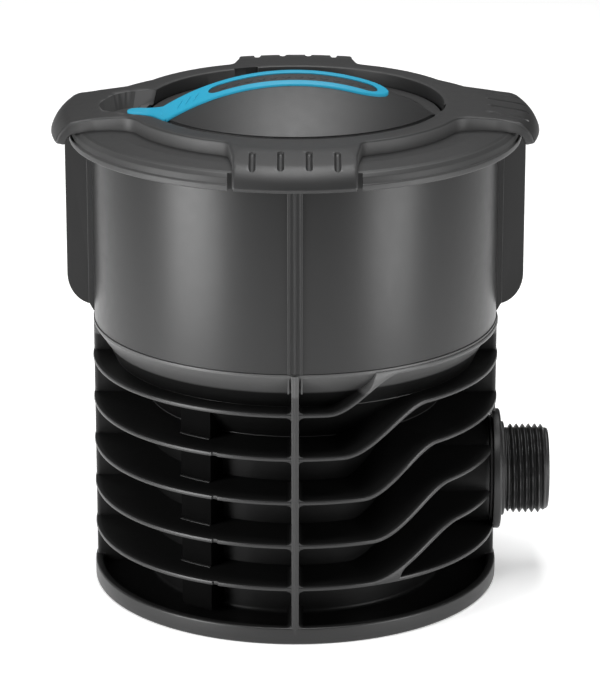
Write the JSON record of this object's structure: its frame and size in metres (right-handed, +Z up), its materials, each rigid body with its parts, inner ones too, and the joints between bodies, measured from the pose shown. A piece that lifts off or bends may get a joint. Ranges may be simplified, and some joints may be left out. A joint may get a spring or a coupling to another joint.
{
  "type": "in-ground irrigation filter box",
  "caption": "Ribbed in-ground garden pipe box with threaded side inlet, strainer cartridge with sprung hose socket, and turn-and-lift lid with domed hatch.",
  "frame": {"origin": "centre of the base's underside, on the pot's axis", "axes": "+Z up, the pot's axis; +X towards the threaded inlet; -Y the front, where the dome and the blue strip face"},
  "size_m": [0.1452, 0.1408, 0.1573],
  "materials": {
    "black_plastic": "moulded, fine satin grain",
    "grey_plastic": "moulded, satin",
    "lid_plastic": "moulded, satin",
    "blue_plastic": "moulded, satin cyan blue",
    "inner_plastic": "moulded, smooth",
    "inlay_rubber": "matte",
    "seal_rubber": "matte",
    "mesh_steel": "stainless",
    "screw_steel": "stainless"
  },
  "bodies": {
    "box": {"ribbed_base": "black_plastic", "upper_shell": "grey_plastic", "inlet_connector": "black_plastic", "inlet_gasket": "seal_rubber", "inlet_lock_nut": "black_plastic", "inlet_oring": "seal_rubber", "valve_body": "black_plastic", "body_screws": "screw_steel"},
    "lid_seal": {"lid_gasket": "seal_rubber"},
    "lid": {"lid_plate": "lid_plastic", "lid_ring": "lid_plastic", "lid_screws": "screw_steel"},
    "hatch_seal": {"hatch_gasket": "seal_rubber"},
    "hatch": {"hatch_cover": "lid_plastic", "hatch_handle": "blue_plastic", "handle_inlay": "inlay_rubber"},
    "cartridge_seal": {"head_oring": "seal_rubber"},
    "cartridge": {"socket_head": "inner_plastic", "head_cap": "inner_plastic", "strainer_frame": "inner_plastic", "strainer_mesh": "mesh_steel", "grip_ring": "mesh_steel", "plug_seal": "seal_rubber", "collar_spring": "mesh_steel", "valve_spring": "mesh_steel"},
    "collar": {"release_collar": "blue_plastic"},
    "plunger": {"valve_plunger": "inner_plastic", "valve_washer": "seal_rubber"}
  },
  "joints": [
    {"name": "lid_lift", "type": "slide", "parent": "box", "child": "lid_seal", "axis": [0, 0, 1], "range_m": [0, 0.06]},
    {"name": "lid_turn", "type": "hinge", "parent": "lid_seal", "child": "lid", "pos_m": [0, 0, 0.1], "axis": [0, 0, 1], "range_deg": [-25, 0]},
    {"name": "hatch_lift", "type": "slide", "parent": "lid", "child": "hatch_seal", "axis": [0, 0, 1], "range_m": [0, 0.05]},
    {"name": "hatch_turn", "type": "hinge", "parent": "hatch_seal", "child": "hatch", "pos_m": [0, 0, 0.1], "axis": [0, 0, 1], "range_deg": [-20, 0]},
    {"name": "cartridge_lift", "type": "slide", "parent": "box", "child": "cartridge_seal", "axis": [0, 0, 1], "range_m": [0, 0.015]},
    {"name": "cartridge_turn", "type": "hinge", "parent": "cartridge_seal", "child": "cartridge", "pos_m": [0, 0, 0.1], "axis": [0, 0, 1], "range_deg": [-30, 0]},
    {"name": "collar_slide", "type": "slide", "parent": "cartridge", "child": "collar", "axis": [0, 0, 1], "range_m": [-0.003, 0], "stiffness_N_per_m": 400, "springref_m": 0.005, "deforming": ["collar_spring"]},
    {"name": "valve_slide", "type": "slide", "parent": "cartridge", "child": "plunger", "axis": [0, 0, 1], "range_m": [-0.005, 0], "stiffness_N_per_m": 300, "springref_m": 0.006, "deforming": ["valve_spring"]}
  ]
}
